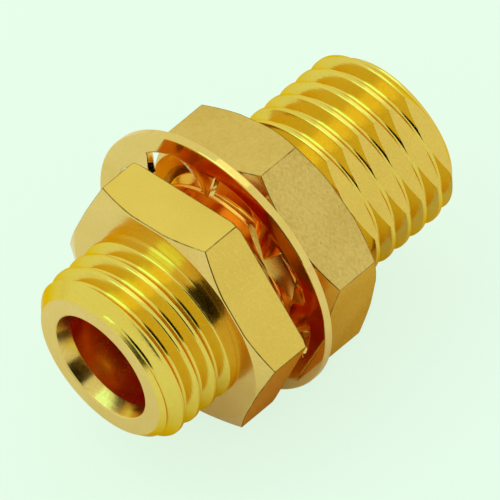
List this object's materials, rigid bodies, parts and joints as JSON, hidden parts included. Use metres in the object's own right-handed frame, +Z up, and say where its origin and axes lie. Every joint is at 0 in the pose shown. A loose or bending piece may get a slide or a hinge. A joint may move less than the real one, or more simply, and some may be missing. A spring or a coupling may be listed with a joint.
{
  "type": "coaxial bulkhead adapter",
  "caption": "Gold-plated coaxial bulkhead adapter: a threaded shell with a push-on socket jack at each end, a hexagon, a twisted-tooth lock washer and a hex nut that clamp it in a panel.",
  "frame": {"origin": "middle of the panel seat, the hexagon's rear face, on the shell's axis", "axes": "+Y along the axis from the front jack towards the nut and the rear jack, +Z up, square to a pair of the hexagon's faces"},
  "size_m": [0.0097, 0.0132, 0.0097],
  "materials": {
    "plated_shell": "bright gold plating",
    "plated_nut": "satin gold plating",
    "plated_washer": "bright gold plating",
    "insulator": "natural fluoropolymer",
    "plated_contact": "bright gold plating"
  },
  "bodies": {
    "shell": {"body_shell": "plated_shell", "front_insulator": "insulator", "rear_insulator": "insulator", "centre_contact": "plated_contact"},
    "washer": {"lock_washer": "plated_washer"},
    "nut": {"hex_nut": "plated_nut"}
  },
  "joints": [
    {"name": "washer_travel", "type": "slide", "parent": "shell", "child": "washer", "axis": [0, 1, 0], "range_m": [0, 0.00423]},
    {"name": "nut_turn", "type": "hinge", "parent": "washer", "child": "nut", "pos_m": [0, 0, 0], "axis": [0, 1, 0], "range_deg": [0, 2160]}
  ],
  "couplings": [
    {"joint": "nut_turn", "follows": "washer_travel", "rad_per_m": 8905.3}
  ]
}
